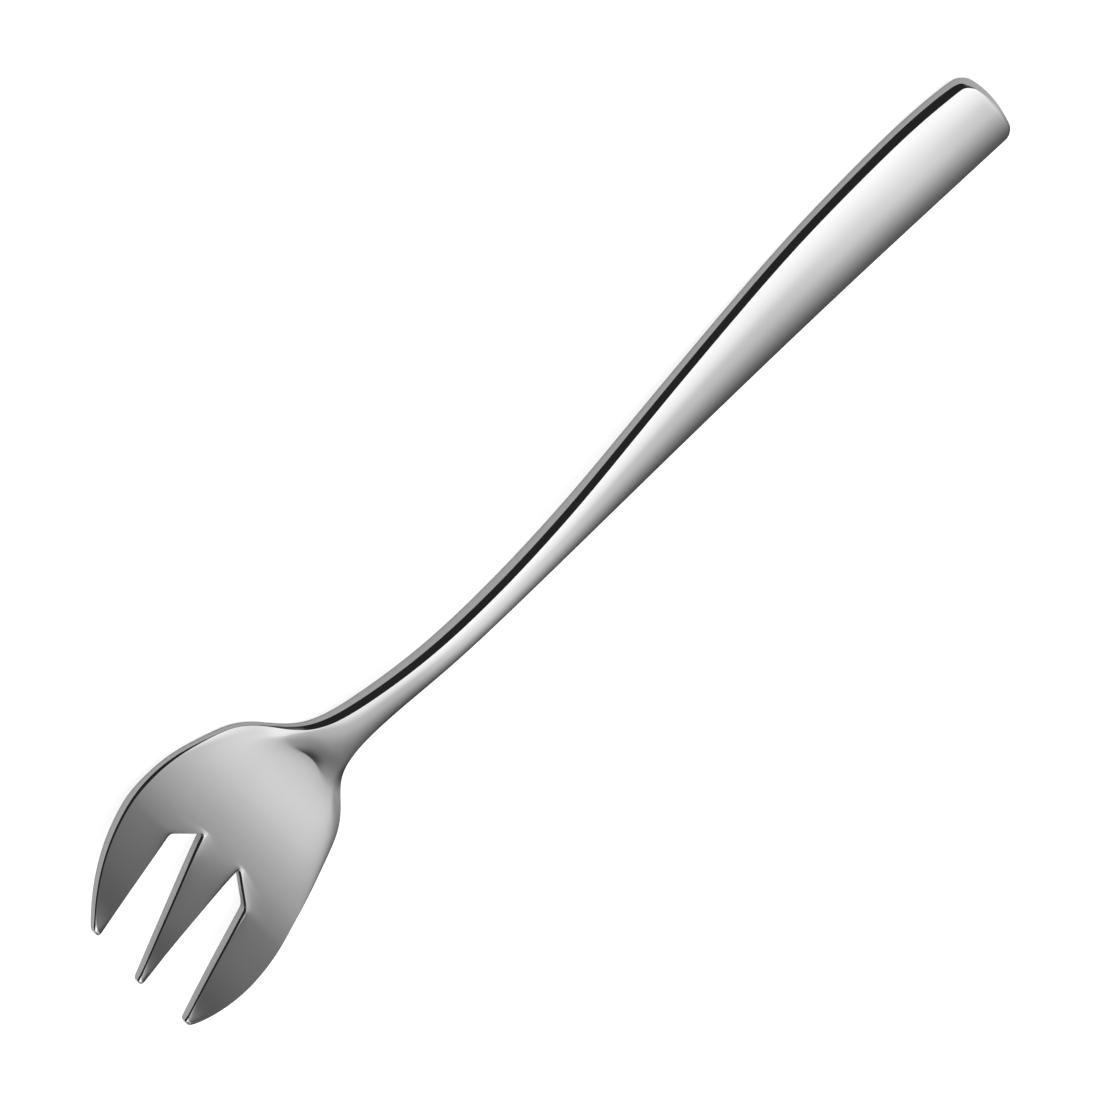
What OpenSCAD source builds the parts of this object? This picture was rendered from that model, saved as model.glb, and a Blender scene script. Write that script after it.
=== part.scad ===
// Three-tined fish fork, forged from one blank of polished stainless steel.
// X runs along the fork from the handle's end to the tips, Y across it and Z up.
// The origin is under the middle of the fork, on the table that it lies on.

/* [Lengths] */
// Length of the handle, from its end to the start of the neck
handle_len = 103; // [85:1:125]
// Length of the neck, up to the crease where it meets the bowl
neck_len = 43; // [34:1:54]
// Length of the bowl, from the crease to the deepest point of the slots
bowl_len = 21; // [17:1:26]
// Length of the tines, from the deepest point of the slots to the tips
tine_len = 23; // [17:1:30]

/* [Handle] */
// Width of the handle at its widest
handle_w = 15.7; // [12:0.1:20]
// Width of the handle at its end, before the corners are rounded
handle_end_w = 14.7; // [12:0.1:20]
// Radius of the two end corners, seen from above
corner_r = 3.6; // [2:0.1:5]
// How far the end bows outwards at its middle
end_bow = 0.9; // [0.2:0.1:1.2]
// Thickness of the handle at its middle line, where it is broad
handle_t = 3.9; // [3.2:0.1:4.6]
// Height of the underside above the table at the handle's end, which curves up a little
end_rise = 1.2; // [0:0.1:2]
// Slope of the domed top face at its long edges, in degrees
crown_angle = 14; // [8:1:18]
// Radius of the rounded shoulder between the top face and the side of the handle
shoulder_r = 4.3; // [2.8:0.1:4.8]

/* [Neck] */
// Width of the neck at its narrowest
waist_w = 5.4; // [4.2:0.1:6.8]
// Thickness of the neck
neck_t = 3.5; // [2.9:0.1:4.2]
// Radius of the rounded shoulder along the neck
neck_shoulder_r = 3.7; // [2.4:0.1:4.4]
// Height of the underside above the table where the neck is highest
neck_rise = 4.7; // [2:0.1:9]

/* [Head] */
// Width of the head at its widest
head_w = 42.2; // [34:0.2:50]
// Thickness of the bowl
bowl_t = 2.3; // [1.8:0.1:2.8]
// Radius of the rounded shoulder round the head
head_shoulder_r = 1.2; // [0.8:0.1:1.6]
// Width of the middle tine at its root, between the deepest corners of the slots
middle_root_w = 10.2; // [8:0.1:13]
// Distance between the roots of the two outer tines
outer_root_gap = 21.2; // [17:0.1:26]
// How much further back a slot reaches beside the middle tine
slot_slant = 3.5; // [2:0.1:6]
// Length over which the corner of a slot's root is rounded, to each side
root_round = 0.7; // [0.3:0.1:0.9]
// Distance across the tips of the outer tines
tip_span = 26.6; // [22:0.2:32]
// How much shorter the outer tines are than the middle one
tip_setback = 0.7; // [0:0.1:1.5]
// Width of each tip
tip_w = 1.2; // [0.8:0.1:1.8]
// Thickness of each tip
tip_t = 2; // [1.5:0.1:2.3]
// Height of the underside above the table at the tips
tip_rise = 11; // [6:0.2:16]
// Radius of the lower edges, all round the fork
lower_r = 0.55; // [0.3:0.05:0.7]

/* [Hidden] */

// Distances from the handle's end at which one zone ends and the next begins
neck_at = handle_len;
bowl_at = neck_at + neck_len;
tines_at = bowl_at + bowl_len;
tips_at = tines_at + tine_len;
outer_tips_at = tips_at - tip_setback;

// Directions in which the rounded shoulder starts and ends, from straight up
shoulder_from = 45;
shoulder_to = 64;
shoulder_reach = sin(shoulder_to) - sin(shoulder_from);
shoulder_fall = cos(shoulder_from) - cos(shoulder_to);

// Steps round half a section: dome, shoulder and lower edge
dome_steps = 5;
shoulder_steps = 3;
lower_steps = 2;
// Steps along the fork: the handle's end and its corners, the zones, a slot's root and a nose
end_steps = 3;
corner_steps = 6;
handle_steps = 28;
neck_steps = 24;
bowl_steps = 14;
root_steps = 3;
tine_steps = 10;
nose_steps = 2;
// How far round, in degrees, the nose of a tine is turned before its small flat end
nose_turn = 65;
// How fast the middle tine widens towards its root: 1 is straight
middle_flare = 1.1;
// The rounded upper edge along the handle's end: its reach along the handle and its fall
end_reach = 0.45;
end_fall = 0.6;
// Length over which the shoulder closes towards the handle's end, and the share of it that is left there
end_closing = 3;
end_least = 0.25;

function mix(a, b, share) = a + (b - a) * share;

// Shape of each zone between its named sizes, as shares. Handle: of its length, of the taper from
// its widest to the waist, of the rise to the neck, and of the change to the neck's thickness.
handle_shape = [
    [0.12, -0.036, 0, 0], [0.23, 0.044, 0, 0.05], [0.36, 0.107, 0, 0.5], [0.54, 0.366, 0.26, 0.8],
    [0.72, 0.618, 0.564, 1.1], [0.9, 0.912, 0.926, 0.9]
];
// Neck: of its length, of the flare from the waist to the head, of the rise, of the change
// to the bowl's thickness, and of the change to the bowl's flat top and finer shoulder
neck_shape = [
    [0.16, 0, 1.013, -0.1, 0], [0.44, 0, 0.979, 0, 0], [0.67, 0.012, 0.625, 0.05, 0],
    [0.84, 0.056, 0.39, 0.12, 0.1], [0.94, 0.123, 0.275, 0.38, 0.4]
];
// Bowl: of its length, of the same flare, of the rise to the tips, and of the shoulder round the head
bowl_shape = [
    [0.05, 0.313, 0.035, 0.4], [0.21, 0.637, -0.005, 0.2], [0.45, 0.74, 0.003, 0.6], [0.72, 0.894, 0.034, 1],
    [1, 0.978, 0.136, 1]
];
// Tines: of their length, of the drawing-in to the tips, of the rise
tine_shape = [[0.26, -0.049, 0.341], [0.57, 0.142, 0.602], [0.83, 0.59, 0.829], [1, 1.077, 1]];

// Control stations along the fork: distance from the end, half width, height of the
// underside, thickness, slope of the dome and radius of the shoulder
crown_slope = tan(crown_angle);
stations = concat(
    [[0, handle_end_w / 2, end_rise, handle_t, crown_slope, shoulder_r]],
    [for (s = handle_shape) [
        handle_len * s[0], mix(handle_w, waist_w, s[1]) / 2, neck_rise * s[2],
        mix(handle_t, neck_t, s[3]), crown_slope, mix(shoulder_r, neck_shoulder_r, s[3])
    ]],
    [for (s = neck_shape) [
        neck_at + neck_len * s[0], mix(waist_w, head_w, s[1]) / 2, neck_rise * s[2],
        mix(neck_t, bowl_t, s[3]), crown_slope * (1 - s[4]),
        mix(neck_shoulder_r, head_shoulder_r, pow(s[4], 2))
    ]],
    [for (s = bowl_shape) [
        bowl_at + bowl_len * s[0], mix(waist_w, head_w, s[1]) / 2, tip_rise * s[2],
        bowl_t, 0, head_shoulder_r * s[3]
    ]],
    [for (s = tine_shape) [
        tines_at + tine_len * s[0], mix(head_w, tip_span, s[1]) / 2, tip_rise * s[2],
        mix(bowl_t, tip_t, s[0]), 0, head_shoulder_r
    ]]
);
last = len(stations) - 1;

// A control station, carried on in a straight line past either end
function control(i) =
    i < 0 ? 2 * stations[0] - stations[1] :
    i > last ? 2 * stations[last] - stations[last - 1] : stations[i];

// The smooth cubic curve through the control stations, at a place from 0 to last
function blend(i, f) = (
    pow(1 - f, 3) * control(i - 1) + (3 * pow(f, 3) - 6 * pow(f, 2) + 4) * control(i) +
    (3 * f + 3 * pow(f, 2) - 3 * pow(f, 3) + 1) * control(i + 1) + pow(f, 3) * control(i + 2)
) / 6;
function curve(place) = let (i = min(floor(place), last - 1)) blend(i, place - i);

// The station at a distance from the handle's end, found by halving
function find(u, low, high, tries) =
    let (middle = (low + high) / 2)
    tries == 0 ? curve(middle) :
    curve(middle)[0] < u ? find(u, middle, high, tries - 1) : find(u, low, middle, tries - 1);
halvings = 40;
function station(u) = find(u, 0, last, halvings);

// Half of a section, from the middle of its top to the middle of its underside
function half_section(half, under, thick, slope, shoulder) =
    let (
        side = thick - half * slope / 2,
        r = min(shoulder, 0.7 * half / shoulder_reach, 0.5 * side / shoulder_fall),
        low = min(lower_r, 0.6 * half, 0.3 * side),
        flat = half - r * shoulder_reach,
        top = under + thick,
        edge = top - flat * slope / 2
    )
    concat(
        [for (i = [0:dome_steps]) let (f = i / dome_steps) [flat * f, mix(top, edge, f * f)]],
        [for (i = [1:shoulder_steps]) let (a = mix(shoulder_from, shoulder_to, i / shoulder_steps))
            [flat + r * (sin(a) - sin(shoulder_from)), edge - r * (cos(shoulder_from) - cos(a))]],
        [for (i = [0:lower_steps]) let (a = 90 * i / lower_steps)
            [half - low * (1 - cos(a)), under + low * (1 - sin(a))]],
        [[0, under]]
    );

// A closed ring of points at a distance u, about the line y = middle
function ring(u, middle, section) =
    let (x = u - tips_at / 2, m = len(section) - 1)
    concat(
        [for (k = [m:-1:0]) [x, middle + section[k][0], section[k][1]]],
        [for (k = [1:m - 1]) [x, middle - section[k][0], section[k][1]]]
    );

// A solid through a list of rings, closed by a flat face at each end
module loft(rings) {
    n = len(rings[0]);
    end = (len(rings) - 1) * n;
    sides = [for (i = [0:len(rings) - 2], j = [0:n - 1])
        let (a = i * n + j, b = i * n + (j + 1) % n)
        each [[a, a + n, b + n], [a, b + n, b]]];
    first_cap = [for (j = [1:n - 2]) [0, j, j + 1]];
    last_cap = [for (t = first_cap) [end + t[2], end + t[1], end + t[0]]];
    polyhedron(points = [for (r = rings) each r], faces = concat(sides, first_cap, last_cap));
}

// Even steps from one distance to another, and the same without the first
function spread(from, to, steps) = [for (i = [0:steps]) mix(from, to, i / steps)];
function onward(from, to, steps) = [for (i = [1:steps]) mix(from, to, i / steps)];

// The whole section at a distance u
function body_ring(u) =
    let (s = station(u))
    ring(u, 0, half_section(s[1], s[2], s[3], s[4], s[5]));

// The handle's bowed end: a shallow arc across the end, then the two round corners.
// It starts with a narrow flat, a share of the arc, and leans where arc and corner meet.
end_flat = 0.35;
end_lean = atan(2 * end_bow / (handle_end_w / 2 - corner_r));
end_half = handle_end_w / 2 - corner_r * (1 - sin(end_lean));
end_done = end_bow + corner_r * cos(end_lean);
function end_arc(share) = [
    end_bow * (pow(share, 2) - pow(end_flat, 2)) / (1 - pow(end_flat, 2)), end_half * share
];
function end_corner(a) = [
    end_bow + corner_r * (cos(end_lean) - cos(a)), end_half + corner_r * (sin(a) - sin(end_lean))
];
end_outline = concat(
    [for (share = spread(end_flat, 1, end_steps)) end_arc(share)],
    [for (i = [1:corner_steps - 1]) end_corner(mix(end_lean, 90, i / corner_steps))]
);
function end_ring(p) =
    let (
        s = station(p[0]),
        fall = end_fall * pow(max(0, 1 - p[0] / end_reach), 2),
        closing = min(1, max(end_least, p[0] / end_closing))
    )
    ring(p[0], 0, half_section(p[1] * 2 * s[1] / handle_end_w, s[2], s[3] - fall, s[4], s[5] * closing));

module handle() {
    color("silver")
    loft(concat(
        [for (p = end_outline) end_ring(p)],
        [for (u = spread(end_done, neck_at, handle_steps)) body_ring(u)]
    ));
}

module neck() {
    color("silver")
    loft([for (u = spread(neck_at, bowl_at, neck_steps)) body_ring(u)]);
}

module bowl() {
    color("silver")
    loft([for (u = spread(bowl_at, tines_at, bowl_steps)) body_ring(u)]);
}

// Inner edge of an outer tine: the slanted root of the slot, a round corner, a straight side
root_at = tines_at + slot_slant;
root_half = outer_root_gap / 2;
tip_inner = tip_span / 2 - tip_w;
function root_side(u) = mix(middle_root_w / 2, root_half, (u - tines_at) / slot_slant);
function tine_side(u) = mix(root_half, tip_inner, (u - root_at) / (outer_tips_at - root_at));
function root_corner(f) =
    pow(1 - f, 2) * root_side(root_at - root_round) + 2 * f * (1 - f) * root_half +
    pow(f, 2) * tine_side(root_at + root_round);
function inner_edge(u) =
    u <= root_at - root_round ? root_side(u) :
    u >= root_at + root_round ? tine_side(u) : root_corner((u - root_at + root_round) / (2 * root_round));

// Half width of the middle tine, which flares into its root
function middle_half(u) = mix(tip_w, middle_root_w, pow((tips_at - u) / tine_len, middle_flare)) / 2;

// A tine's section between its two edges, drawn in by shrink all round
function tine_ring(u, from, to, shrink) =
    let (s = station(u), half = (to - from) / 2 - shrink)
    ring(u, (from + to) / 2, half_section(half, s[2] + shrink, s[3] - 2 * shrink, 0, s[5]));

// Rounded nose of a tine that ends at a distance: the distances of its rings, and how far each is drawn in
nose_r = tip_w / 2;
function nose(end_at) = [for (a = onward(0, nose_turn, nose_steps))
    [end_at - nose_r * (1 - sin(a) / sin(nose_turn)), nose_r * (1 - cos(a))]];

// An outer tine, with its sections closer together round the corner of its root
module outer_tine() {
    distances = concat(
        spread(tines_at, root_at - root_round, root_steps),
        onward(root_at - root_round, root_at + root_round, corner_steps),
        onward(root_at + root_round, outer_tips_at - nose_r, tine_steps)
    );
    color("silver")
    loft(concat(
        [for (u = distances) tine_ring(u, inner_edge(u), station(u)[1], 0)],
        [for (n = nose(outer_tips_at)) tine_ring(n[0], inner_edge(n[0]), station(n[0])[1], n[1])]
    ));
}

module left_tine() {
    outer_tine();
}

module middle_tine() {
    color("silver")
    loft(concat(
        [for (u = spread(tines_at, tips_at - nose_r, tine_steps))
            tine_ring(u, -middle_half(u), middle_half(u), 0)],
        [for (n = nose(tips_at)) tine_ring(n[0], -middle_half(n[0]), middle_half(n[0]), n[1])]
    ));
}

module right_tine() {
    mirror([0, 1, 0])
    outer_tine();
}

handle();
neck();
bowl();
left_tine();
middle_tine();
right_tine();
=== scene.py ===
"""Fish fork of mirror-polished steel: one forged skin, cut into the fork's zones, on a plain pale stage."""

import math

import bmesh
import bpy
import numpy as np
from mathutils import Matrix, Vector


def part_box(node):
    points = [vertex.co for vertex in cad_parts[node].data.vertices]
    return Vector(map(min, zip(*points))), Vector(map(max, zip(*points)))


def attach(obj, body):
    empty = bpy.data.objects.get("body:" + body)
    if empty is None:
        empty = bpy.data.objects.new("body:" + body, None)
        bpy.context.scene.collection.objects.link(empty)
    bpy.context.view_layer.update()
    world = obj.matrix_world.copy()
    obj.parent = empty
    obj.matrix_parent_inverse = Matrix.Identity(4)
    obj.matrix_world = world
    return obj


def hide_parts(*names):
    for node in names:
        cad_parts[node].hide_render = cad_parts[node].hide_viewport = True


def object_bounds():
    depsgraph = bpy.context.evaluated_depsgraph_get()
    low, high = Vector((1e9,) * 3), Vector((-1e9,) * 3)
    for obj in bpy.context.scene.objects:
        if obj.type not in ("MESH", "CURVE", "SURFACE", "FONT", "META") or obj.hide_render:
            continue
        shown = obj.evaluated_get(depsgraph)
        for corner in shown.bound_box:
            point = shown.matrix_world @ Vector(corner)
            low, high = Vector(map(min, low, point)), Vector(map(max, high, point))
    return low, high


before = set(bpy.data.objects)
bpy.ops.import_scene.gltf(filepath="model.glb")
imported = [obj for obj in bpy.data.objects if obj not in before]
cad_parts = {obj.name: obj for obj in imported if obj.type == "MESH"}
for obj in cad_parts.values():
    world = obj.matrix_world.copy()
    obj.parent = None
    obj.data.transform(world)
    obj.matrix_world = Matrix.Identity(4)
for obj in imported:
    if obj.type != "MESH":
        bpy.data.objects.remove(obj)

CAD_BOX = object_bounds()

bl_info = {
    "name": "Fish Fork",
    "version": (1, 0, 0),
    "blender": (4, 5, 0),
    "location": "View3D > Sidebar > Fork",
    "description": "Forges a polished fish fork around its packed solids",
    "category": "Add Mesh",
}

MM = 0.001

# Places along the fork where its zones meet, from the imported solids
END_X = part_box("handle")[0].x
NECK_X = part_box("neck")[0].x
BOWL_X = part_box("bowl")[0].x
ROOT_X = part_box("middle_tine")[0].x
TIPS_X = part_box("middle_tine")[1].x
HANDLE_LENGTH = NECK_X - END_X
NECK_LENGTH = BOWL_X - NECK_X
BOWL_LENGTH = ROOT_X - BOWL_X
TINE_LENGTH = TIPS_X - ROOT_X
# The tines part from the bowl just beyond the deepest points of the slots
SPLIT_X = ROOT_X + 0.3 * MM


def length(label, words, millimetres):
    """A length that a user may change."""
    return bpy.props.FloatProperty(
        name=label, description=words, default=millimetres * MM, min=0.0, precision=5, unit="LENGTH"
    )


def angle(label, words, degrees):
    """An angle that a user may change."""
    return bpy.props.FloatProperty(
        name=label, description=words, default=math.radians(degrees), unit="ROTATION"
    )


def colour(label, words, red, green, blue):
    """A colour that a user may change."""
    return bpy.props.FloatVectorProperty(
        name=label, description=words, default=(red, green, blue, 1.0), size=4, min=0.0, max=1.0,
        subtype="COLOR",
    )


def share(label, words, default):
    """A share from 0 to 1 that a user may change."""
    return bpy.props.FloatProperty(
        name=label, description=words, default=default, min=0.0, max=1.0, subtype="FACTOR"
    )


class ForkSizes(bpy.types.PropertyGroup):
    """Widths, thicknesses and heights of the fork."""

    handle_width: length("Handle width", "Width of the handle at its widest", 15.7)
    end_width: length("End width", "Width of the handle near its end", 14.7)
    end_bow: length("End bow", "How far the handle's end bows out", 0.7)
    handle_thickness: length("Handle thickness", "Thickness of the handle where it is broad", 3.9)
    end_rise: length("End rise", "Height of the underside at the handle's end", 1.2)
    crown: angle("Crown", "Slope of the domed top at its long edges", 14)
    shoulder: length("Shoulder", "Radius of the shoulder along the handle", 4.3)
    waist: length("Waist", "Width of the neck at its narrowest", 5.4)
    neck_thickness: length("Neck thickness", "Thickness of the neck", 3.5)
    neck_shoulder: length("Neck shoulder", "Radius of the shoulder along the neck", 3.7)
    neck_rise: length("Neck rise", "Height of the underside where the neck is highest", 4.7)
    head_width: length("Head width", "Width of the head at its widest", 42.2)
    bowl_thickness: length("Bowl thickness", "Thickness of the bowl", 2.3)
    head_shoulder: length("Head shoulder", "Radius of the shoulder round the head", 1.7)
    middle_root: length("Middle root", "Width of the middle tine at its root", 10.2)
    outer_gap: length("Outer gap", "Distance between the roots of the outer tines", 21.2)
    slot_slant: length("Slot slant", "How much further back a slot reaches beside the middle tine", 3.5)
    slot_round: length("Slot round", "Roundness of the corners of the slots", 0.8)
    tip_span: length("Tip span", "Distance across the tips of the outer tines", 26.6)
    tip_setback: length("Tip setback", "How much shorter the outer tines are", 0.7)
    tip_width: length("Tip width", "Width of each tip", 1.2)
    tip_thickness: length("Tip thickness", "Thickness of each tip", 2)
    tip_rise: length("Tip rise", "Height of the underside at the tips", 11)
    lower_edge: length("Lower edge", "Roundness of the lower edges", 0.4)


class ForkFinish(bpy.types.PropertyGroup):
    """Colour and polish of the steel."""

    steel: colour("Steel", "Colour of the polished steel", 0.78, 0.78, 0.78)
    steel_deep: colour("Steel, deeper", "Colour where the polish is a little duller", 0.72, 0.72, 0.725)
    polish: share("Polish", "Roughness of the brightest polish", 0.045)
    haze: share("Haze", "Roughness where the polish is a little duller", 0.085)


class ForkStage(bpy.types.PropertyGroup):
    """Floor and light."""

    floor: colour("Floor", "Colour of the floor", 0.85, 0.85, 0.85)
    fill: share("Fill", "Light that the floor sends up to the fork's sides", 0.03)
    glow: share("Glow", "Brightness that takes the floor to white in the picture", 0.8)


# Shape of each zone between its named sizes, as shares. Handle: of its length, of the taper from
# its widest to the waist, of the rise to the neck, and of the change to the neck's thickness.
HANDLE_SHAPE = [
    (0.12, -0.036, 0, 0),
    (0.23, 0.044, 0, 0.05),
    (0.36, 0.107, 0, 0.5),
    (0.54, 0.366, 0.26, 0.8),
    (0.72, 0.618, 0.564, 1.1),
    (0.9, 0.912, 0.926, 0.9),
]
# Neck: of its length, of the flare to the head, of the rise, of the change to the bowl's
# thickness, and of the change to its flat top and finer shoulder
NECK_SHAPE = [
    (0.16, 0, 1.013, -0.1, 0),
    (0.44, 0, 0.979, 0, 0),
    (0.67, 0.012, 0.625, 0.05, 0),
    (0.84, 0.056, 0.39, 0.12, 0.1),
    (0.94, 0.123, 0.262, 0.38, 0.4),
]
# Bowl: of its length, of the same flare, of the rise to the tips, and of the head's shoulder
BOWL_SHAPE = [
    (0.05, 0.313, 0.025, 0.5),
    (0.21, 0.645, 0, 0.05),
    (0.45, 0.756, 0.003, 0.1),
    (0.72, 0.91, 0.034, 0.75),
    (1, 0.983, 0.136, 1),
]
# Tines: of their length, of the drawing-in to the tips, of the rise, and of the head's shoulder
TINE_SHAPE = [
    (0.26, -0.045, 0.341, 0.7),
    (0.57, 0.142, 0.602, 0.6),
    (0.83, 0.59, 0.829, 0.55),
    (1, 1.077, 1, 0.5),
]

# Rows of the blank, as shares of each zone's length
HANDLE_ROWS = [0, 0.0183, 0.0304, 0.07, 0.12, 0.19, 0.27, 0.35, 0.43, 0.51, 0.59, 0.67, 0.75, 0.83, 0.91]
NECK_ROWS = [0, 0.12, 0.25, 0.38, 0.51, 0.63, 0.73, 0.81, 0.88, 0.94, 0.975]
# Row of the bowl along which the fold at its start is creased
FOLD_ROW = 0.04
FOLD_X = BOWL_X + BOWL_LENGTH * FOLD_ROW
BOWL_ROWS = [0, FOLD_ROW, 0.09, 0.17, 0.28, 0.41, 0.56, 0.72, 0.86, 0.95, 1]
MIDDLE_ROWS = [0.035, 0.11, 0.22, 0.38, 0.54, 0.7, 0.85, 0.96, 1]
OUTER_ROWS = [0.3, 0.46, 0.62, 0.78, 0.9, 0.97, 1]
# Half widths of the first rows at the handle's end, as shares, which round its corners
END_SHARES = [0.758, 0.946, 0.995]
# Columns of the blank outside the middle tine, as shares of the half width
OUTER_COLUMNS = [0.5, 0.77, 1]
# How fast the middle tine widens towards its root: 1 is straight
MIDDLE_FLARE = 1.1
# Round the head the top face rolls down to its edge: width and fall of that roll, the share of
# the fall where it starts, the width of the same ring where there is no roll, and the places
# between which the roll grows and fades
ROLL_WIDTH = 1.3 * MM
ROLL_FALL = 0.37 * MM
ROLL_EASE = 0.28
ROLL_START = 0.1 * MM
ROLL_GROWS = (BOWL_X - 3 * MM, BOWL_X + 2 * MM)
ROLL_FADES = (ROOT_X - 16 * MM, ROOT_X - 2 * MM)
# Where the slots begin to shape the edges near them
SLOTS_FROM = ROOT_X - 1 * MM
# The same roll round the slots, as a share of that round the head, and where it fades
SLOT_ROLL = 0.5
SLOT_FADES = (ROOT_X + 2 * MM, ROOT_X + 8 * MM)
# The same roll at the tips, as a share, and its reach along the tines
TIP_ROLL = 0.2
TIP_REACH = 3 * MM
# The fold where the neck meets the bowl: its depth, its reach back along the neck, forward over
# the bowl and across the fork, how far to each side it is creased, and how fast it curves forward
FOLD_DEPTH = 0.2 * MM
FOLD_BACK = 0.42 * MM
FOLD_FORWARD = 2 * MM
FOLD_ACROSS = 3.4 * MM
FOLD_CREASED = 1.1 * FOLD_ACROSS
FOLD_CURVE = 0.06 / MM
# Length and fall of the round nose of a tine
NOSE = 0.6 * MM
NOSE_FALL = 0.45 * MM
# Length over which the shoulder grows from the handle's end, and the share of it that is left there
END_FADE = 3.4 * MM
END_LEAST = 0.06
# Within a reach of the handle's end its upper edge leans back and its lower edge out, and the
# top rolls by a share of the roll round the head
END_REACH = 3 * MM
END_LEAN = 0.5 * MM
END_PUSH = 0.2 * MM
END_ROLL = 0.3
# Round the head the lower edge is rounder: height of its rounding there, and the places between
# which it grows and fades
HEAD_LOWER_EDGE = 0.95 * MM
LOWER_GROWS = (BOWL_X, BOWL_X + 9 * MM)
LOWER_FADES = (ROOT_X - 1 * MM, ROOT_X + 5 * MM)
# The same height on the tines and round the slots
TINE_LOWER_EDGE = 0.2 * MM

# Directions from straight up between which the shoulder is rounded, from the top face outwards
SHOULDER_TURNS = [math.radians(a) for a in (45, 55, 64)]
SHOULDER_REACH = [math.sin(SHOULDER_TURNS[-1]) - math.sin(a) for a in SHOULDER_TURNS]
SHOULDER_FALL = [math.cos(SHOULDER_TURNS[0]) - math.cos(a) for a in SHOULDER_TURNS]

SUBDIVISIONS = 3
# Edges that turn by more than this stay crisp
CRISP = math.radians(20)
# Depth to which the blank is first extruded, before its underside is pressed to height
DEEP = 0.1
# Distance under which two places count as the same
NEAR = 1e-5
# Share of a normal along an axis past which a face looks that way, and past which it is square to it
FACING = 0.5
SQUARE = 0.9
# Most of its distance from the middle that a vertex gives up to the shoulder and the roll
MOST_DRAWN_IN = 0.8


def mix(a, b, part):
    """The value that lies that part of the way from a to b."""
    return a + (b - a) * part


def way(x, places):
    """The part of the way from the first place to the second at which x lies."""
    start, stop = places
    return (x - start) / (stop - start)


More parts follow.
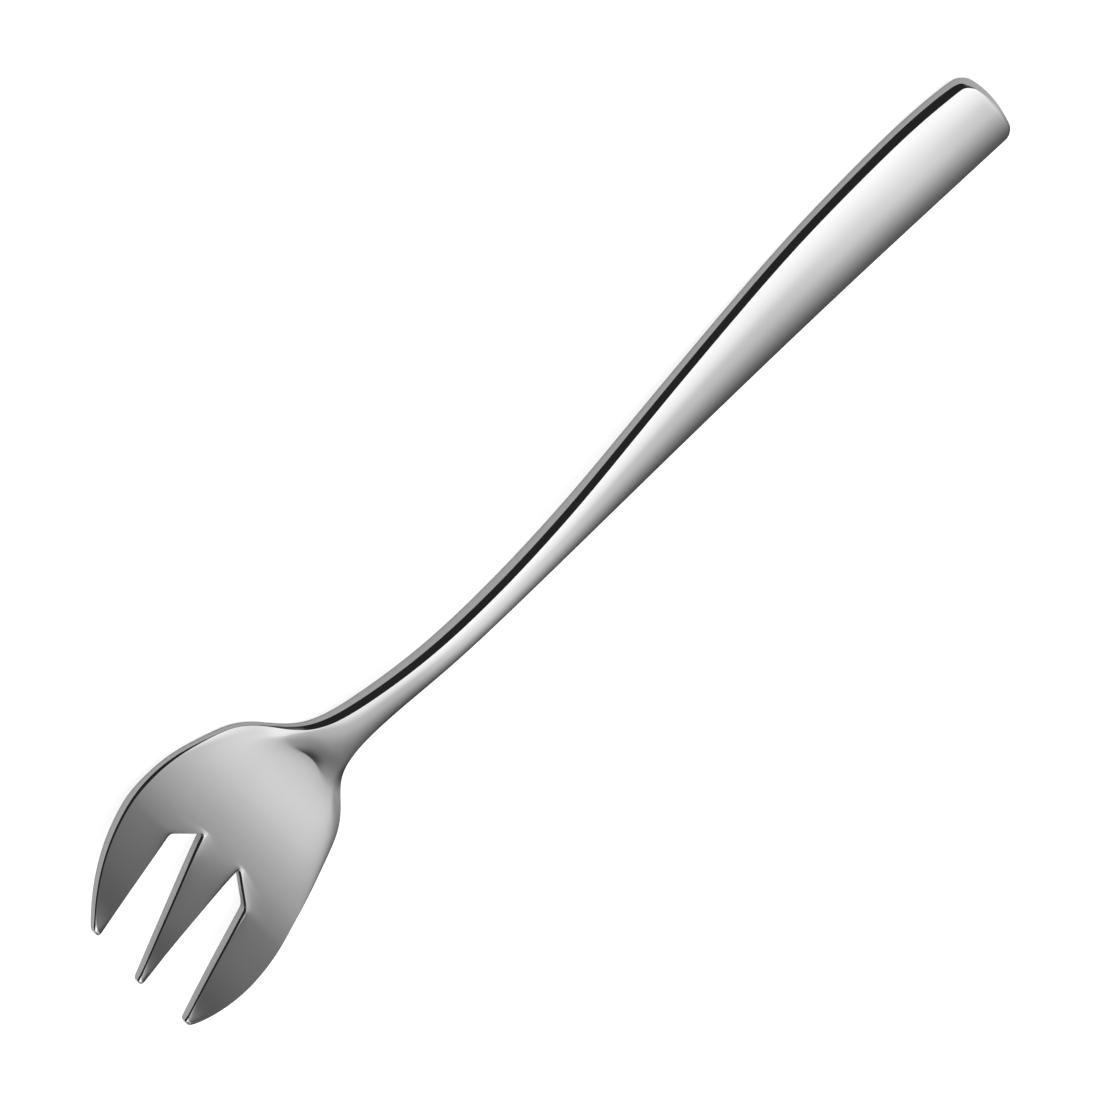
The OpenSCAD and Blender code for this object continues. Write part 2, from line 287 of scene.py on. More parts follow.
class Profile:
    """The fork's section along its length, as smooth curves through a few control stations."""

    HALVINGS = 40

    def __init__(self, size):
        self.size = size
        crown = math.tan(size.crown)
        rows = [[0, size.end_width / 2, size.end_rise, size.handle_thickness, crown, size.shoulder]]
        for along, taper, rise, thinner in HANDLE_SHAPE:
            rows.append([
                HANDLE_LENGTH * along, mix(size.handle_width, size.waist, taper) / 2, size.neck_rise * rise,
                mix(size.handle_thickness, size.neck_thickness, thinner), crown,
                mix(size.shoulder, size.neck_shoulder, thinner),
            ])
        for along, flare, rise, thinner, flatter in NECK_SHAPE:
            rows.append([
                NECK_X - END_X + NECK_LENGTH * along, mix(size.waist, size.head_width, flare) / 2,
                size.neck_rise * rise, mix(size.neck_thickness, size.bowl_thickness, thinner),
                crown * (1 - flatter), mix(size.neck_shoulder, size.head_shoulder, flatter ** 2),
            ])
        for along, flare, rise, edge in BOWL_SHAPE:
            rows.append([
                BOWL_X - END_X + BOWL_LENGTH * along, mix(size.waist, size.head_width, flare) / 2,
                size.tip_rise * rise, size.bowl_thickness, 0, size.head_shoulder * edge,
            ])
        for along, drawn, rise, edge in TINE_SHAPE:
            rows.append([
                ROOT_X - END_X + TINE_LENGTH * along, mix(size.head_width, size.tip_span, drawn) / 2,
                size.tip_rise * rise, mix(size.bowl_thickness, size.tip_thickness, along), 0,
                size.head_shoulder * edge,
            ])
        first, last = np.array(rows[:2]), np.array(rows[-2:])
        self.control = np.vstack([2 * first[0] - first[1], rows, 2 * last[1] - last[0]])
        self.last = len(rows) - 1

    def curve(self, place):
        """Section at a place from 0 to the last control station."""
        i = min(int(place), self.last - 1)
        f = place - i
        weights = [(1 - f) ** 3, 3 * f ** 3 - 6 * f ** 2 + 4, 1 + 3 * f + 3 * f ** 2 - 3 * f ** 3, f ** 3]
        return np.array(weights) @ self.control[i:i + 4] / 6

    def at(self, x):
        """Half width, underside, thickness, slope of the dome and shoulder's radius at x."""
        low, high = 0, self.last
        for _ in range(self.HALVINGS):
            middle = (low + high) / 2
            if self.curve(middle)[0] < x - END_X:
                low = middle
            else:
                high = middle
        return [float(v) for v in self.curve(low)[1:]]

    def half(self, x):
        """Half width of the whole fork at x."""
        return self.at(x)[0]

    def under(self, x):
        """Height of the underside at x."""
        return self.at(x)[1]

    def shoulder(self, x):
        """Radius of the shoulder at x, which grows from the handle's end."""
        return self.at(x)[4] * min(1.0, mix(END_LEAST, 1, (x - END_X) / END_FADE))

    def rolled(self, x, y):
        """How much of the head's roll there is at x and y, also by the slots, the tips and the end."""
        tip = TIP_ROLL * max(0.0, 1 - (self.tip(y) - x) / TIP_REACH)
        if self.by_slot(x, y):
            return max(tip, SLOT_ROLL * min(1.0, 1 - way(x, SLOT_FADES)))
        end = END_ROLL * (1 - (x - END_X) / END_REACH)
        return max(tip, end, min(1.0, way(x, ROLL_GROWS), 1 - way(x, ROLL_FADES)))

    def by_slot(self, x, y):
        """Whether the place is by a slot, and not by the fork's outer edge."""
        return x > SLOTS_FROM and abs(y) < (self.inner_edge(x) + self.half(x)) / 2

    def lower_edge(self, x, y):
        """Height of the rounding along the lower edge at x and y."""
        if self.by_slot(x, y):
            return TINE_LOWER_EDGE
        plain = self.size.lower_edge if x < ROOT_X else TINE_LOWER_EDGE
        rounder = min(1.0, way(x, LOWER_GROWS), 1 - way(x, LOWER_FADES))
        return mix(plain, HEAD_LOWER_EDGE, max(0.0, rounder))

    def sides(self, x, y):
        """The two long edges, across the fork, of the body or the tine that holds the place."""
        half = self.half(x)
        if x < ROOT_X + NEAR:
            return -half, half
        middle, inner = self.middle_edge(x), self.inner_edge(x)
        if abs(y) < (middle + inner) / 2:
            return -middle, middle
        return (inner, half) if y > 0 else (-half, -inner)

    def tip(self, y):
        """Where the tine at y ends."""
        return TIPS_X if abs(y) < self.size.middle_root / 2 else TIPS_X - self.size.tip_setback

    def top(self, x, y):
        """Height of the domed top face at x and y, level beyond its crisp edge."""
        half, under, thickness, slope, _ = self.at(x)
        flat = half - SHOULDER_REACH[0] * self.shoulder(x)
        dome = slope / 2 * min(abs(y), flat) ** 2 / flat
        past = x - FOLD_X - FOLD_CURVE * y ** 2
        fold = math.exp(past / FOLD_BACK) if past < 0 else max(0.0, 1 - past / FOLD_FORWARD)
        fold *= FOLD_DEPTH * math.exp(-(y / FOLD_ACROSS) ** 2)
        nose = max(0.0, 1 - (self.tip(y) - x) / NOSE)
        return under + thickness - dome - fold - NOSE_FALL * nose ** 2

    def middle_edge(self, x):
        """Half width of the middle tine at x."""
        flare = ((TIPS_X - x) / TINE_LENGTH) ** MIDDLE_FLARE
        return mix(self.size.tip_width, self.size.middle_root, flare) / 2

    def inner_edge(self, x):
        """Inner edge of an outer tine at x: the slanted root of the slot, then a straight side."""
        corner_x = ROOT_X + self.size.slot_slant
        if x <= corner_x:
            return mix(self.size.middle_root, self.size.outer_gap, (x - ROOT_X) / self.size.slot_slant) / 2
        tip_inner = self.size.tip_span / 2 - self.size.tip_width
        outer_tips_x = TIPS_X - self.size.tip_setback
        return mix(self.size.outer_gap / 2, tip_inner, (x - corner_x) / (outer_tips_x - corner_x))


def rows_along(start, span, shares):
    """Places along one zone of the fork."""
    return [start + span * s for s in shares]


def start_edit(piece):
    """Opens a piece in edit mode, with vertices picked one by one."""
    bpy.ops.object.select_all(action="DESELECT")
    piece.select_set(True)
    bpy.context.view_layer.objects.active = piece
    bpy.ops.object.mode_set(mode="EDIT")
    bpy.ops.mesh.select_mode(type="VERT")


def cage():
    """The mesh that is being edited."""
    return bmesh.from_edit_mesh(bpy.context.object.data)


def pick(test):
    """Selects the vertices whose place passes the test, with the edges and faces between them."""
    bpy.ops.mesh.select_all(action="DESELECT")
    shape = cage()
    for v in shape.verts:
        v.select_set(test(v.co))
    shape.select_flush(True)
    bmesh.update_edit_mesh(bpy.context.object.data)


def pick_faces(test):
    """Selects the faces whose normal passes the test."""
    bpy.ops.mesh.select_all(action="DESELECT")
    for face in cage().faces:
        if test(face.normal):
            face.select_set(True)
    bmesh.update_edit_mesh(bpy.context.object.data)


def press(vertices, height):
    """Presses vertices to the height that their place gives."""
    for v in vertices:
        v.co.z = height(v.co.x, v.co.y)
    bmesh.update_edit_mesh(bpy.context.object.data)


def press_picked(height):
    """Presses the selected vertices to the height that their place gives."""
    shape = cage()
    press([v for v in shape.verts if v.select], height)


def move(x=0.0, y=0.0, z=0.0):
    """Moves what is selected."""
    bpy.ops.transform.translate(value=(x, y, z))


def stretch(y, middle=0.0):
    """Widens what is selected about a line along the fork."""
    bpy.ops.transform.resize(value=(1, y, 1), center_override=(0, middle, 0))


def grow(x=0.0, y=0.0, z=0.0):
    """Extrudes what is selected and moves the new part."""
    bpy.ops.mesh.extrude_region_move(TRANSFORM_OT_translate={"value": (x, y, z)})


def apply_modifier(piece, kind, **settings):
    """Adds a modifier to a piece and applies it."""
    bpy.ops.object.mode_set(mode="OBJECT")
    modifier = piece.modifiers.new(kind.title(), kind)
    for name, value in settings.items():
        setattr(modifier, name, value)
    bpy.ops.object.modifier_apply(modifier=modifier.name)


def draw_end(columns):
    """Half of the row across the handle's end, one wide, as a line from its middle to its side."""
    bpy.ops.mesh.primitive_grid_add(x_subdivisions=1, y_subdivisions=len(columns) - 1, size=2)
    blank = bpy.context.object
    blank.name = "fork_blank"
    start_edit(blank)
    pick(lambda co: co.x < 0)
    bpy.ops.mesh.delete(type="VERT")
    for i in reversed(range(len(columns))):
        y = -1 + 2 * i / (len(columns) - 1)
        pick(lambda co: abs(co.y - y) < NEAR)
        move(y=columns[i] - y)
    bpy.ops.mesh.select_all(action="SELECT")
    return blank


def draw_body(profile, columns):
    """Extrudes the half blank from the handle's end to the slots, row by row at its own width."""
    places = rows_along(END_X, HANDLE_LENGTH, HANDLE_ROWS)
    places += rows_along(NECK_X, NECK_LENGTH, NECK_ROWS)
    places += rows_along(BOWL_X, BOWL_LENGTH, BOWL_ROWS)
    halves = [profile.half(x) for x in places]
    for i, narrowed in enumerate(END_SHARES):
        halves[i] *= narrowed
    move(x=END_X - 1)
    stretch(halves[0])
    for i in range(1, len(places)):
        grow(x=places[i] - places[i - 1])
        stretch(halves[i] / halves[i - 1])
    for column in columns:
        pick(lambda co: abs(co.x - END_X) < NEAR and abs(co.y - column * halves[0]) < NEAR)
        move(x=profile.size.end_bow * column ** 2)


def draw_tine(places, root, edges):
    """Extrudes a tine from its part of the root row, each row between its own two edges."""
    low, high = root
    x = ROOT_X
    pick(lambda co: abs(co.x - ROOT_X) < NEAR and low - NEAR < co.y < high + NEAR)
    for place in places:
        new_low, new_high = edges(place)
        middle = (new_low + new_high) / 2
        grow(x=place - x, y=middle - (low + high) / 2)
        stretch((new_high - new_low) / (high - low), middle)
        x, low, high = place, new_low, new_high


def draw_tines(profile):
    """The half of the middle tine and one outer tine, with close rows round the corners of the slot."""
    size = profile.size
    root_half = size.middle_root / 2
    middle_places = rows_along(ROOT_X, TINE_LENGTH, MIDDLE_ROWS)
    draw_tine(middle_places, (0, root_half), lambda x: (0, profile.middle_edge(x)))
    corner_x = ROOT_X + size.slot_slant
    outer_places = [ROOT_X + size.slot_round, (ROOT_X + corner_x) / 2]
    outer_places += [corner_x + size.slot_round * side for side in (-1, 0, 1)]
    outer_places += rows_along(ROOT_X, TINE_LENGTH - size.tip_setback, OUTER_ROWS)
    draw_tine(
        outer_places, (root_half, profile.half(ROOT_X)), lambda x: (profile.inner_edge(x), profile.half(x))
    )


def thicken(profile):
    """Gives the flat blank its thickness: a domed top face and an underside that is flat across."""
    bpy.ops.mesh.select_all(action="SELECT")
    grow(z=-DEEP)
    press_picked(lambda x, y: profile.under(x))
    bpy.ops.mesh.select_all(action="INVERT")
    press_picked(profile.top)
    bpy.ops.mesh.select_all(action="SELECT")
    bpy.ops.mesh.normals_make_consistent(inside=False)


def rings_outwards(shape, count):
    """The ring of vertices round the selected faces, and those round it, from the inside out."""
    seen = {v for v in shape.verts if v.select}
    rings = [[v for v in seen if not all(face.select for face in v.link_faces)]]
    for _ in range(count - 1):
        next_ring = {edge.other_vert(v) for v in rings[-1] for edge in v.link_edges} - seen
        seen |= next_ring
        rings.append(list(next_ring))
    return rings


def pull(ring, outer, distance):
    """Moves each vertex of a ring away from its partner on the next ring outwards."""
    outer = set(outer)
    moves = []
    for v in ring:
        partner = next(e.other_vert(v) for e in v.link_edges if e.other_vert(v) in outer)
        away = v.co - partner.co
        away.z = 0
        moves.append((v, away.normalized() * distance(v.co)))
    return moves


def crease(shape, inner, ring):
    """Creases the edges along a ring, those that border the faces inside it."""
    bpy.ops.mesh.select_all(action="DESELECT")
    ring = set(ring)
    inner = set(inner)
    for edge in shape.edges:
        if ring.issuperset(edge.verts) and any(inner & set(face.verts) for face in edge.link_faces):
            edge.select_set(True)
    bmesh.update_edit_mesh(bpy.context.object.data)
    bpy.ops.transform.edge_crease(value=1.0)


def round_shoulder(profile):
    """Insets the top face and drops the rings: a soft roll, a crisp edge and a shoulder under it."""
    radius = profile.size.head_shoulder
    pick_faces(lambda normal: normal.z > FACING)
    for step in (1, 0):
        reach = SHOULDER_REACH[step] - SHOULDER_REACH[step + 1]
        bpy.ops.mesh.inset(thickness=reach * radius, depth=0.0, use_even_offset=True)
    bpy.ops.mesh.inset(thickness=ROLL_START, depth=0.0, use_even_offset=True)
    shape = cage()
    within = [v for v in shape.verts if v.select]
    roll, *rings = rings_outwards(shape, len(SHOULDER_TURNS) + 1)
    within = [v for v in within if v not in set(roll)]

    def grown(co):
        return profile.shoulder(co.x) - radius

    def roll_width(co):
        return profile.rolled(co.x, co.y) * (ROLL_WIDTH - ROLL_START)

    moves = pull(roll, rings[0], lambda co: SHOULDER_REACH[0] * grown(co) + roll_width(co))
    moves += pull(rings[0], rings[1], lambda co: SHOULDER_REACH[0] * grown(co))
    moves += pull(rings[1], rings[2], lambda co: SHOULDER_REACH[1] * grown(co))
    for v, step in moves:
        v.co += step
    for v in within:
        low, high = profile.sides(v.co.x, v.co.y)
        middle, half = (low + high) / 2, (high - low) / 2
        margin = SHOULDER_REACH[0] * profile.shoulder(v.co.x) + ROLL_START + roll_width(v.co)
        v.co.y = mix(middle, v.co.y, 1 - min(margin / half, MOST_DRAWN_IN))
    fold = [v for v in within if abs(v.co.x - FOLD_X) < NEAR and abs(v.co.y) < FOLD_CREASED]
    for v in fold:
        v.co.x += FOLD_CURVE * v.co.y ** 2
    for v in (v for ring in (roll, *rings) for v in ring):
        v.co.x += END_LEAN * max(0.0, 1 - (v.co.x - END_X) / END_REACH)
    press(within, profile.top)
    press(roll, lambda x, y: profile.top(x, y) - ROLL_EASE * ROLL_FALL * profile.rolled(x, y))
    for step, ring in enumerate(rings):
        press(ring, lambda x, y: (
            profile.top(x, y)
            - ROLL_FALL * profile.rolled(x, y)
            - SHOULDER_FALL[step] * profile.shoulder(x)
        ))
    crease(shape, roll, rings[0])
    crease(shape, rings[1], rings[2])
    crease(shape, within, fold)


def round_underside(profile):
    """Insets the underside and lifts its outer ring, which rounds the lower edges and pushes the end out."""
    pick_faces(lambda normal: normal.z < -FACING)
    bpy.ops.mesh.inset(thickness=profile.size.lower_edge, depth=0.0, use_even_offset=True)
    shape = cage()
    ring = rings_outwards(shape, 2)[1]
    press(ring, lambda x, y: profile.under(x) + profile.lower_edge(x, y))
    for v in ring:
        v.co.x -= END_PUSH * max(0.0, 1 - (v.co.x - END_X) / END_REACH)


def keep_normals(mesh):
    """Keeps the skin's own normals at each corner, so that the zones cut from it show no seam."""
    normals = np.zeros(len(mesh.loops) * 3, np.float32)
    mesh.corner_normals.foreach_get("vector", normals)
    mesh.attributes.new("skin_normal", "FLOAT_VECTOR", "CORNER").data.foreach_set("vector", normals)


def forge_skin(size):
    """The whole fork as one smooth skin."""
    profile = Profile(size)
    root_share = size.middle_root / 2 / profile.half(ROOT_X)
    columns = [0, root_share, *OUTER_COLUMNS]
    blank = draw_end(columns)
    draw_body(profile, columns)
    draw_tines(profile)
    apply_modifier(blank, "MIRROR", use_axis=(False, True, False), merge_threshold=NEAR)
    start_edit(blank)
    thicken(profile)
    round_shoulder(profile)
    round_underside(profile)
    apply_modifier(blank, "SUBSURF", levels=SUBDIVISIONS, render_levels=SUBDIVISIONS)
    bpy.ops.object.shade_smooth_by_angle(angle=CRISP)
    keep_normals(blank.data)
    return blank


def cut(blank, name, start=None, stop=None):
    """A copy of the skin between two places along the fork, closed by a flat face at each cut."""
    bpy.ops.object.select_all(action="DESELECT")
    blank.select_set(True)
    bpy.context.view_layer.objects.active = blank
    bpy.ops.object.duplicate()
    piece = bpy.context.object
    piece.name = name
    start_edit(piece)
    for place, inner in ((start, True), (stop, False)):
        if place is None:
            continue
        bpy.ops.mesh.select_all(action="SELECT")
        bpy.ops.mesh.bisect(
            plane_co=(place, 0, 0), plane_no=(1, 0, 0), use_fill=True,
            clear_inner=inner, clear_outer=not inner, threshold=NEAR / 10,
        )
    bpy.ops.object.mode_set(mode="OBJECT")
    return piece


def keep_side(piece, test):
    """Keeps only the loose parts of a piece whose vertices pass the test."""
    start_edit(piece)
    pick(lambda co: not test(co))
    bpy.ops.mesh.delete(type="VERT")
    bpy.ops.object.mode_set(mode="OBJECT")


def restore_normals(piece, *cuts):
    """Gives a cut piece the normals of the whole skin, and its flat cut faces their own."""
    mesh = piece.data
    kept = np.zeros(len(mesh.loops) * 3, np.float32)
    mesh.attributes["skin_normal"].data.foreach_get("vector", kept)
    kept = kept.reshape(-1, 3)
    for face in mesh.polygons:
        places = [mesh.vertices[i].co.x for i in face.vertices]
        level = any(max(abs(x - place) for x in places) < NEAR for place in cuts)
        if level and abs(face.normal.x) > SQUARE:
            kept[face.loop_start:face.loop_start + face.loop_total] = face.normal
    mesh.attributes.remove(mesh.attributes["skin_normal"])
    mesh.normals_split_custom_set([tuple(n) for n in kept])


def finish_piece(piece, node, finish):
    """Gives a piece its steel and its body, and hides the solid that it replaces."""
    piece.data.materials.clear()
    piece.data.materials.append(polished_steel(finish))
    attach(piece, "root")
    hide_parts(node)


# Fineness and detail of the haze and of the polishing lines, which run along the fork, the level at
# which both make the polish dullest, and how much the lines show as relief
HAZE_SCALE = 55.0
HAZE_DETAIL = 5.0
LINE_SCALE = (60.0, 2600.0, 2600.0)
LINE_DETAIL = 3.0
DULLEST_AT = 0.5
LINE_RELIEF = 0.02
LINE_DEPTH = 0.02 * MM


def polished_steel(finish):
    """Mirror-polished stainless steel, with the faint haze and fine lines that polishing leaves."""
    material = bpy.data.materials.get("polished_steel_skin")
    if material:
        return material
    material = bpy.data.materials.new("polished_steel_skin")
    material.use_nodes = True
    nodes, links = material.node_tree.nodes, material.node_tree.links
    shader = nodes["Principled BSDF"]
    shader.inputs["Metallic"].default_value = 1.0
    place = nodes.new("ShaderNodeTexCoord")
    haze = nodes.new("ShaderNodeTexNoise")
    haze.inputs["Scale"].default_value = HAZE_SCALE
    haze.inputs["Detail"].default_value = HAZE_DETAIL
    links.new(place.outputs["Object"], haze.inputs["Vector"])
    tint = nodes.new("ShaderNodeMix")
    tint.data_type = "RGBA"
    tint.inputs["A"].default_value = finish.steel
    tint.inputs["B"].default_value = finish.steel_deep
    links.new(haze.outputs["Fac"], tint.inputs["Factor"])
    links.new(tint.outputs["Result"], shader.inputs["Base Color"])
    stretch_lines = nodes.new("ShaderNodeMapping")
    stretch_lines.inputs["Scale"].default_value = LINE_SCALE
    links.new(place.outputs["Object"], stretch_lines.inputs["Vector"])
    lines = nodes.new("ShaderNodeTexNoise")
    lines.inputs["Scale"].default_value = 1.0
    lines.inputs["Detail"].default_value = LINE_DETAIL
    links.new(stretch_lines.outputs["Vector"], lines.inputs["Vector"])
    both = nodes.new("ShaderNodeMath")
    both.operation = "MULTIPLY"
    links.new(haze.outputs["Fac"], both.inputs[0])
    links.new(lines.outputs["Fac"], both.inputs[1])
    rough = nodes.new("ShaderNodeMapRange")
    rough.inputs["From Max"].default_value = DULLEST_AT
    rough.inputs["To Min"].default_value = finish.polish
    rough.inputs["To Max"].default_value = finish.haze
    links.new(both.outputs["Value"], rough.inputs["Value"])
    links.new(rough.outputs["Result"], shader.inputs["Roughness"])
    bump = nodes.new("ShaderNodeBump")
    bump.inputs["Strength"].default_value = LINE_RELIEF
    bump.inputs["Distance"].default_value = LINE_DEPTH
    links.new(lines.outputs["Fac"], bump.inputs["Height"])
    links.new(bump.outputs["Normal"], shader.inputs["Normal"])
    return material


class FORK_OT_skin(bpy.types.Operator):
    """Forge the whole fork as one smooth skin"""

    bl_idname = "fork.skin"
    bl_label = "Forge Skin"

    def execute(self, context):
        forge_skin(context.scene.fork_sizes)
        return {"FINISHED"}


class FORK_OT_handle(bpy.types.Operator):
    """Cut the handle from the skin"""

    bl_idname = "fork.handle"
    bl_label = "Handle"

    def execute(self, context):
        piece = cut(bpy.data.objects["fork_blank"], "handle_skin", stop=NECK_X)
        restore_normals(piece, NECK_X)
        finish_piece(piece, "handle", context.scene.fork_finish)
        return {"FINISHED"}


class FORK_OT_neck(bpy.types.Operator):
    """Cut the neck from the skin"""

    bl_idname = "fork.neck"
    bl_label = "Neck"

    def execute(self, context):
        piece = cut(bpy.data.objects["fork_blank"], "neck_skin", start=NECK_X, stop=BOWL_X)
        restore_normals(piece, NECK_X, BOWL_X)
        finish_piece(piece, "neck", context.scene.fork_finish)
        return {"FINISHED"}


class FORK_OT_bowl(bpy.types.Operator):
    """Cut the bowl from the skin"""

    bl_idname = "fork.bowl"
    bl_label = "Bowl"

    def execute(self, context):
        piece = cut(bpy.data.objects["fork_blank"], "bowl_skin", start=BOWL_X, stop=SPLIT_X)
        restore_normals(piece, BOWL_X, SPLIT_X)
        finish_piece(piece, "bowl", context.scene.fork_finish)
        return {"FINISHED"}


class FORK_OT_tines(bpy.types.Operator):
    """Cut the three tines from the skin"""

    bl_idname = "fork.tines"
    bl_label = "Tines"

    def execute(self, context):
        profile = Profile(context.scene.fork_sizes)

        def side(co):
            slot_middle = (profile.middle_edge(co.x) + profile.inner_edge(co.x)) / 2
            return 0 if abs(co.y) < slot_middle else math.copysign(1, co.y)

        for name, place in (("left_tine", 1), ("middle_tine", 0), ("right_tine", -1)):
            piece = cut(bpy.data.objects["fork_blank"], name + "_skin", start=SPLIT_X)
            keep_side(piece, lambda co: side(co) == place)
            restore_normals(piece, SPLIT_X)
            finish_piece(piece, name, context.scene.fork_finish)
        bpy.data.objects.remove(bpy.data.objects["fork_blank"])
        return {"FINISHED"}


# Where the camera stands: turn and height of its view, turn of the picture, and its lens
VIEW_AZIMUTH = math.radians(0.75)
VIEW_ELEVATION = math.radians(50.28)
VIEW_ROLL = math.radians(135.3)
VIEW_DISTANCE = 2500 * MM
CLIP_START = 10 * MM
SENSOR = 36.0
PIXELS = 1100
PIXELS_PER_MM = 6.462
# Pixel of the picture on which the fork's origin falls
ORIGIN_PIXEL = (544.9, 517.62)


def place_camera():
    """The camera at the picture's angle, with the fork's origin on its pixel."""
    toward = Vector((
        math.sin(VIEW_AZIMUTH) * math.cos(VIEW_ELEVATION),
        -math.cos(VIEW_AZIMUTH) * math.cos(VIEW_ELEVATION),
        math.sin(VIEW_ELEVATION),
    ))
    level = Vector((0, 0, 1)).cross(toward).normalized()
    upright = toward.cross(level)
    right = level * math.cos(VIEW_ROLL) + upright * math.sin(VIEW_ROLL)
    up = upright * math.cos(VIEW_ROLL) - level * math.sin(VIEW_ROLL)
    aside = (PIXELS / 2 - ORIGIN_PIXEL[0]) / PIXELS_PER_MM * MM
    below = (PIXELS / 2 - ORIGIN_PIXEL[1]) / PIXELS_PER_MM * MM
    target = right * aside - up * below
    lens = bpy.data.cameras.new("fork_camera")
    lens.sensor_width = SENSOR
    lens.lens = PIXELS_PER_MM * (VIEW_DISTANCE / MM) * SENSOR / PIXELS
    lens.clip_start = CLIP_START
    camera = bpy.data.objects.new("fork_camera", lens)
    turned = Matrix((right, up, toward)).transposed().to_4x4()
    camera.matrix_world = Matrix.Translation(target + toward * VIEW_DISTANCE) @ turned
    bpy.context.scene.collection.objects.link(camera)
    bpy.context.scene.camera = camera


# Brightness of the room by height, as the sine of the height above the horizon
ROOM_LIGHT = [
    (0.0, 0.05), (0.3, 0.05), (0.42, 0.09), (0.5, 0.22), (0.57, 0.37), (0.64, 0.53), (0.7, 0.67),
    (0.76, 0.84), (0.81, 0.89), (0.86, 0.98), (0.92, 1.13), (0.96, 1.3), (1.0, 1.5),
]
ROOM_MOST = 1.5
# The light hangs over the fork's middle: its share from the handle's end, where a bright strip and
# a dark line lie, to the tips, the highest share, how far to both sides this is given, and the
# heights between which it gives way to the even light above
SIDE_LIGHT = [
    (-0.66, 1.4), (-0.61, 1.4), (-0.58, 1.25), (-0.56, 0.85), (-0.545, 0.45), (-0.525, 0.27),
    (-0.5, 0.5), (-0.44, 0.64), (-0.25, 0.63), (-0.12, 0.8), (-0.03, 1.0), (0.03, 1.0),
    (0.12, 0.86), (0.19, 0.78), (0.26, 0.65), (0.44, 0.66), (0.55, 0.6), (0.65, 0.35),
]
SIDE_MOST = 1.4
SIDE_REACH = 0.7
EVEN_FROM = 0.83
EVEN_TO = 0.93
# The dark side of the room, behind the camera: where it starts, where it is full, and how dark it is
DARK_FROM = -0.5
DARK_TO = -0.72
DARK_LEVEL = 0.022


def add_ramp(nodes, steps, most):
    """A smooth ramp of greys through the given places and levels, as shares of the highest level."""
    node = nodes.new("ShaderNodeValToRGB")
    ramp = node.color_ramp
    ramp.interpolation = "B_SPLINE"
    while len(ramp.elements) < len(steps):
        ramp.elements.new(0.5)
    for element, (place, level) in zip(ramp.elements, steps):
        element.position = place
        element.color = (level / most,) * 3 + (1.0,)
    return node


def light_room():
    """A soft light from above that falls off towards a dim horizon, and is dark behind the camera."""
    world = bpy.data.worlds.new("fork_room")
    bpy.context.scene.world = world
    world.use_nodes = True
    nodes, links = world.node_tree.nodes, world.node_tree.links
    direction = nodes.new("ShaderNodeTexCoord")
    parts = nodes.new("ShaderNodeSeparateXYZ")
    links.new(direction.outputs["Generated"], parts.inputs["Vector"])
    height = add_ramp(nodes, ROOM_LIGHT, ROOM_MOST)
    links.new(parts.outputs["Z"], height.inputs["Fac"])
    endwards = nodes.new("ShaderNodeMapRange")
    endwards.inputs["From Min"].default_value = -SIDE_REACH
    endwards.inputs["From Max"].default_value = SIDE_REACH
    links.new(parts.outputs["X"], endwards.inputs["Value"])
    side = add_ramp(nodes, [((x / SIDE_REACH + 1) / 2, level) for x, level in SIDE_LIGHT], SIDE_MOST)
    links.new(endwards.outputs["Result"], side.inputs["Fac"])
    even = nodes.new("ShaderNodeMapRange")
    even.interpolation_type = "SMOOTHSTEP"
    even.inputs["From Min"].default_value = EVEN_FROM
    even.inputs["From Max"].default_value = EVEN_TO
    even.inputs["To Max"].default_value = ROOM_MOST
    links.new(parts.outputs["Z"], even.inputs["Value"])
    share_left = nodes.new("ShaderNodeMath")
    share_left.operation = "MULTIPLY"
    share_left.inputs[1].default_value = ROOM_MOST * SIDE_MOST
    links.new(side.outputs["Color"], share_left.inputs[0])
    links.new(share_left.outputs["Value"], even.inputs["To Min"])
    level = nodes.new("ShaderNodeMath")
    level.operation = "MULTIPLY"
    links.new(height.outputs["Color"], level.inputs[0])
    links.new(even.outputs["Result"], level.inputs[1])
    lit = nodes.new("ShaderNodeMapRange")
    lit.interpolation_type = "SMOOTHSTEP"
    lit.inputs["From Min"].default_value = DARK_TO
    lit.inputs["From Max"].default_value = DARK_FROM
    lit.inputs["To Min"].default_value = DARK_LEVEL
    links.new(parts.outputs["Y"], lit.inputs["Value"])
    links.new(level.outputs["Value"], lit.inputs["To Max"])
    background = nodes["Background"]
    background.inputs["Color"].default_value = (1, 1, 1, 1)
    links.new(lit.outputs["Result"], background.inputs["Strength"])


# Size of the floor, its gap under the fork, and how matt it is
FLOOR_SIZE = 3.0
FLOOR_GAP = 0.05 * MM
FLOOR_ROUGHNESS = 0.9


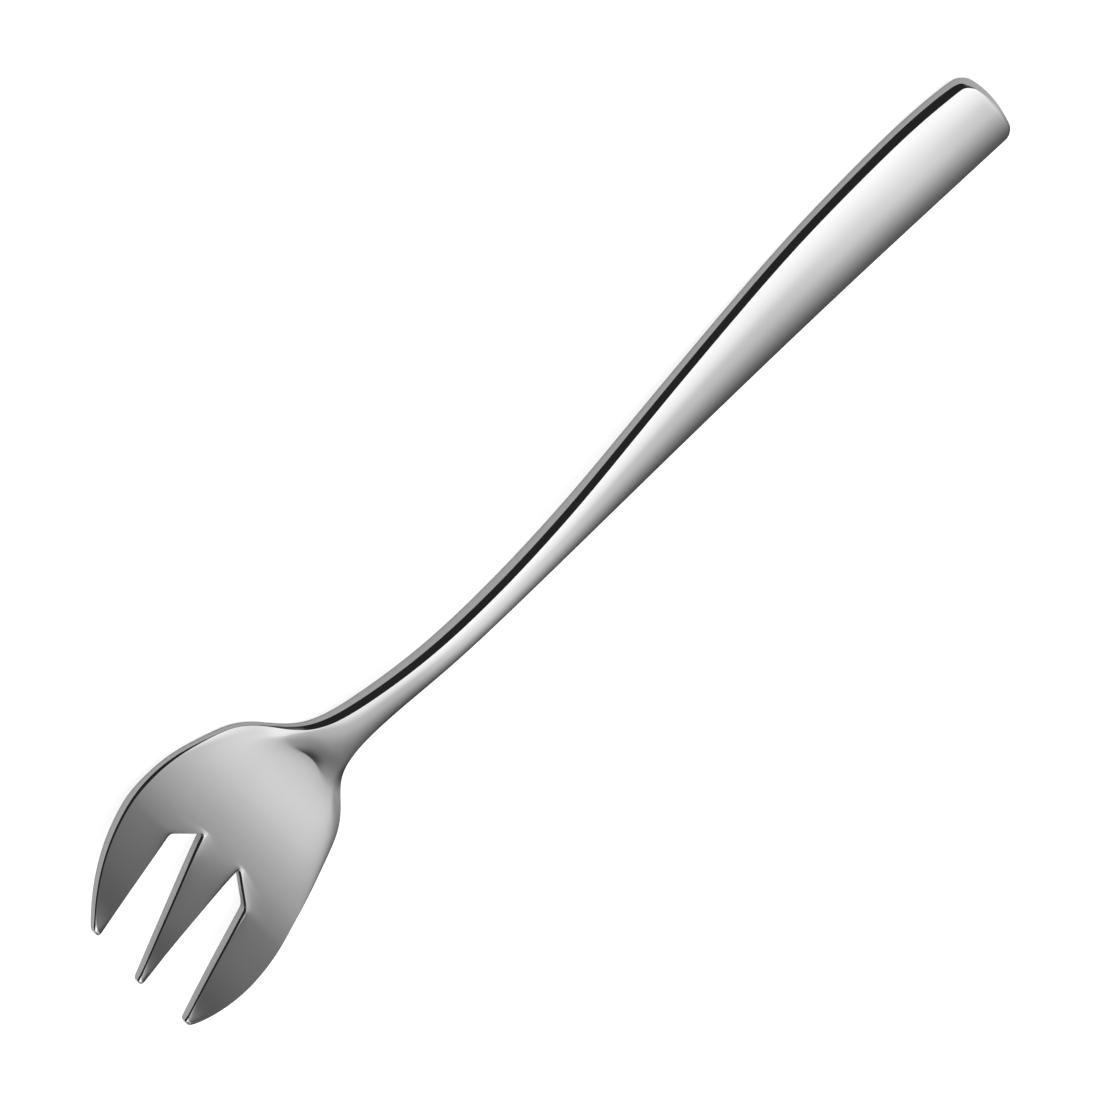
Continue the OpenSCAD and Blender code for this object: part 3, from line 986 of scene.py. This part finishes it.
def lay_floor(stage):
    """A pale floor that the picture shows as white, apart from the fork's soft shadow."""
    bpy.ops.object.select_all(action="DESELECT")
    bpy.ops.mesh.primitive_plane_add(size=FLOOR_SIZE, location=(0, 0, CAD_BOX[0][2] - FLOOR_GAP))
    floor = bpy.context.object
    floor.name = "floor"
    material = bpy.data.materials.new("floor_paper")
    material.use_nodes = True
    nodes, links = material.node_tree.nodes, material.node_tree.links
    paper = nodes["Principled BSDF"]
    paper.inputs["Base Color"].default_value = stage.floor
    paper.inputs["Roughness"].default_value = FLOOR_ROUGHNESS
    paper.inputs["Specular IOR Level"].default_value = 0.0
    path = nodes.new("ShaderNodeLightPath")
    paper.inputs["Emission Color"].default_value = (1, 1, 1, 1)
    glow = nodes.new("ShaderNodeMath")
    glow.operation = "MULTIPLY_ADD"
    glow.inputs[1].default_value = stage.glow
    glow.inputs[2].default_value = stage.fill
    links.new(path.outputs["Is Camera Ray"], glow.inputs[0])
    links.new(glow.outputs["Value"], paper.inputs["Emission Strength"])
    floor.data.materials.append(material)


class FORK_OT_stage(bpy.types.Operator):
    """Lay the floor, light the room and place the camera"""

    bl_idname = "fork.stage"
    bl_label = "Stage"

    def execute(self, context):
        lay_floor(context.scene.fork_stage)
        light_room()
        place_camera()
        context.scene.view_settings.view_transform = "Standard"
        return {"FINISHED"}


class FORK_PT_panel(bpy.types.Panel):
    """Buttons and sizes of the fork"""

    bl_idname = "FORK_PT_panel"
    bl_label = "Fish Fork"
    bl_space_type = "VIEW_3D"
    bl_region_type = "UI"
    bl_category = "Fork"

    def draw(self, context):
        for operator in OPERATORS:
            self.layout.operator(operator.bl_idname)
        for group in ("fork_sizes", "fork_finish", "fork_stage"):
            values = getattr(context.scene, group)
            box = self.layout.box()
            for name in values.__annotations__:
                box.prop(values, name)


OPERATORS = (FORK_OT_skin, FORK_OT_handle, FORK_OT_neck, FORK_OT_bowl, FORK_OT_tines, FORK_OT_stage)
GROUPS = (("fork_sizes", ForkSizes), ("fork_finish", ForkFinish), ("fork_stage", ForkStage))


def register():
    """Adds the fork's settings, operators and panel."""
    for name, group in GROUPS:
        bpy.utils.register_class(group)
        setattr(bpy.types.Scene, name, bpy.props.PointerProperty(type=group))
    for operator in OPERATORS:
        bpy.utils.register_class(operator)
    bpy.utils.register_class(FORK_PT_panel)


def unregister():
    """Removes them again."""
    bpy.utils.unregister_class(FORK_PT_panel)
    for operator in reversed(OPERATORS):
        bpy.utils.unregister_class(operator)
    for name, group in reversed(GROUPS):
        delattr(bpy.types.Scene, name)
        bpy.utils.unregister_class(group)


def main():
    """Builds the fork on its stage."""
    register()
    bpy.ops.fork.skin()
    bpy.ops.fork.handle()
    bpy.ops.fork.neck()
    bpy.ops.fork.bowl()
    bpy.ops.fork.tines()
    bpy.ops.fork.stage()


if __name__ == "__main__":
    main()
